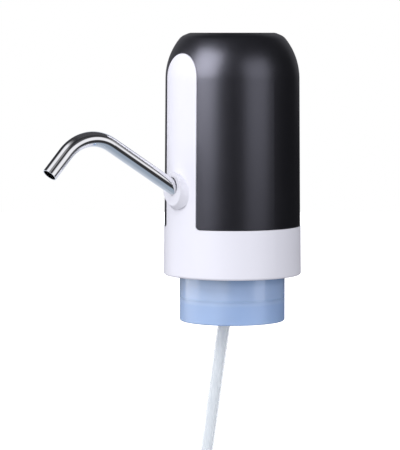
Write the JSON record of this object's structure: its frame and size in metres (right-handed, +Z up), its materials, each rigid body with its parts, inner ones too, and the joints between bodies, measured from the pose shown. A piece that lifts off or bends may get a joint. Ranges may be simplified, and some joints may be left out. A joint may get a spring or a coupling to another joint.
{
  "type": "electric water jug pump",
  "caption": "Electric pump that sits on a water jug: black and white body, translucent neck adapter, bent steel spout, push button on top and a suction hose below.",
  "frame": {"origin": "middle of the seat ring that rests on the bottle's mouth", "axes": "+Z up along the body, the spout points along -Y, +X to the right seen from the spout side"},
  "size_m": [0.0752, 0.1635, 0.3269],
  "materials": {
    "cover_black": "satin",
    "body_white": "gloss",
    "adapter_clear": "satin",
    "spout_steel": "polished",
    "button_black": "satin",
    "ring_clear": "satin",
    "hose_clear": "satin",
    "seal_rubber": "matte",
    "screw_steel": "satin",
    "pump_plastic": "matte",
    "pump_dark": "matte",
    "frame_plastic": "matte",
    "motor_steel": "satin",
    "magnet": "matte",
    "brass": "satin",
    "copper": "satin",
    "board": "satin",
    "switch": "matte",
    "led": "gloss",
    "cell_wrap": "gloss",
    "lead_red": "satin",
    "lead_black": "satin",
    "tie": "matte"
  },
  "bodies": {
    "body": {"top_cover": "cover_black", "main_body": "body_white", "base_plate": "body_white", "base_screws": "screw_steel", "neck_adapter": "adapter_clear", "spout_seal": "seal_rubber", "light_ring": "ring_clear", "switch_case": "switch", "button_board": "board", "board_screws": "screw_steel", "indicator_leds": "led", "inlet_seal": "seal_rubber", "pump_manifold": "pump_plastic", "valve_plate": "pump_plastic", "inlet_valves": "seal_rubber", "outlet_valves": "seal_rubber", "diaphragm": "seal_rubber", "crank_housing": "pump_dark", "pump_screws": "screw_steel", "motor_screws": "screw_steel", "motor_can": "motor_steel", "motor_magnets": "magnet", "motor_bushes": "brass", "motor_end_cap": "pump_plastic", "brush_terminals": "brass", "outlet_hose": "hose_clear", "inner_frame": "frame_plastic", "frame_screws": "screw_steel", "battery_cell": "cell_wrap", "cell_cap": "board", "charge_board": "board", "usb_socket": "screw_steel", "motor_leads": "lead_red", "battery_leads": "lead_red", "charge_leads": "lead_black", "suction_hose": "hose_clear", "suction_hose_wound": "hose_clear", "hose_tie": "tie"},
    "button": {"power_button": "button_black", "switch_plunger": "switch"},
    "spout": {"spout": "spout_steel"},
    "rotor": {"motor_shaft": "screw_steel", "armature": "copper", "commutator": "copper", "eccentric": "pump_dark"},
    "wobbler": {"wobble_plate": "pump_plastic", "wobble_pin": "screw_steel"}
  },
  "joints": [
    {"name": "button_press", "type": "slide", "parent": "body", "child": "button", "axis": [0, 0, -1], "range_m": [0, 0.0008], "stiffness_N_per_m": 1500, "springref_m": -0.0003},
    {"name": "spout_turn", "type": "hinge", "parent": "body", "child": "spout", "pos_m": [0, -0.04088, 0.0631], "axis": [0, -0.8572, 0.515], "continuous": true},
    {"name": "rotor_spin", "type": "hinge", "parent": "body", "child": "rotor", "pos_m": [0, 0, 0.0533], "axis": [0, 0, 1], "continuous": true, "deforming": ["diaphragm"]},
    {"name": "wobble_spin", "type": "hinge", "parent": "rotor", "child": "wobbler", "pos_m": [0, 0, 0.03795], "axis": [0, 0.0872, 0.9962], "continuous": true}
  ],
  "couplings": [
    {"joint": "wobble_spin", "follows": "rotor_spin", "ratio": -1}
  ]
}
